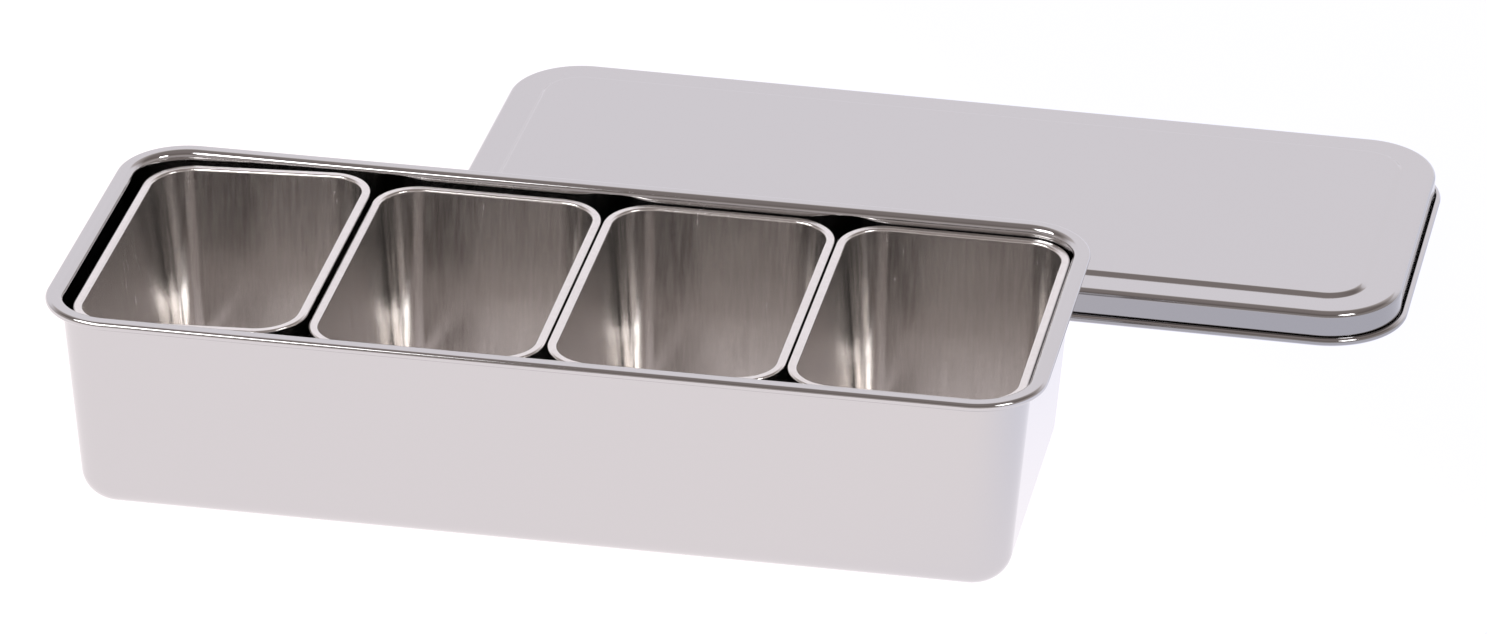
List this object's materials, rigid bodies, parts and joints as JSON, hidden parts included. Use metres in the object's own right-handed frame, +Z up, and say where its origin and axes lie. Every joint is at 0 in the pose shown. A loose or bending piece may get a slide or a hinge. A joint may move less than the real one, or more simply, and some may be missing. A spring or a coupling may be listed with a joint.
{
  "type": "lidded seasoning box",
  "caption": "Stainless steel seasoning box with lift-out cups in a rimmed outer pan and a loose raised-panel lid lying behind it.",
  "frame": {"origin": "centre of the outer box's underside, on the table", "axes": "+X along the row of cups to the right, +Y towards the lid that lies behind the box, +Z up"},
  "size_m": [0.3871, 0.3275, 0.067],
  "materials": {
    "satin_steel": "drawn stainless steel with a fine satin face and polished rolled edges",
    "polished_steel": "polished stainless steel"
  },
  "bodies": {
    "outer_box": {"outer_box": "satin_steel"},
    "cup_1": {"cup_1": "polished_steel"},
    "cup_2": {"cup_2": "polished_steel"},
    "cup_3": {"cup_3": "polished_steel"},
    "cup_4": {"cup_4": "polished_steel"},
    "lid": {"lid": "satin_steel"}
  },
  "joints": [
    {"name": "cup_1_lift", "type": "slide", "parent": "outer_box", "child": "cup_1", "axis": [0, 0, 1], "range_m": [0, 0.09]},
    {"name": "cup_2_lift", "type": "slide", "parent": "outer_box", "child": "cup_2", "axis": [0, 0, 1], "range_m": [0, 0.09]},
    {"name": "cup_3_lift", "type": "slide", "parent": "outer_box", "child": "cup_3", "axis": [0, 0, 1], "range_m": [0, 0.09]},
    {"name": "cup_4_lift", "type": "slide", "parent": "outer_box", "child": "cup_4", "axis": [0, 0, 1], "range_m": [0, 0.09]},
    {"name": "lid_lift", "type": "slide", "parent": "outer_box", "child": "lid", "axis": [0, 0, 1], "range_m": [0, 0.1]}
  ]
}
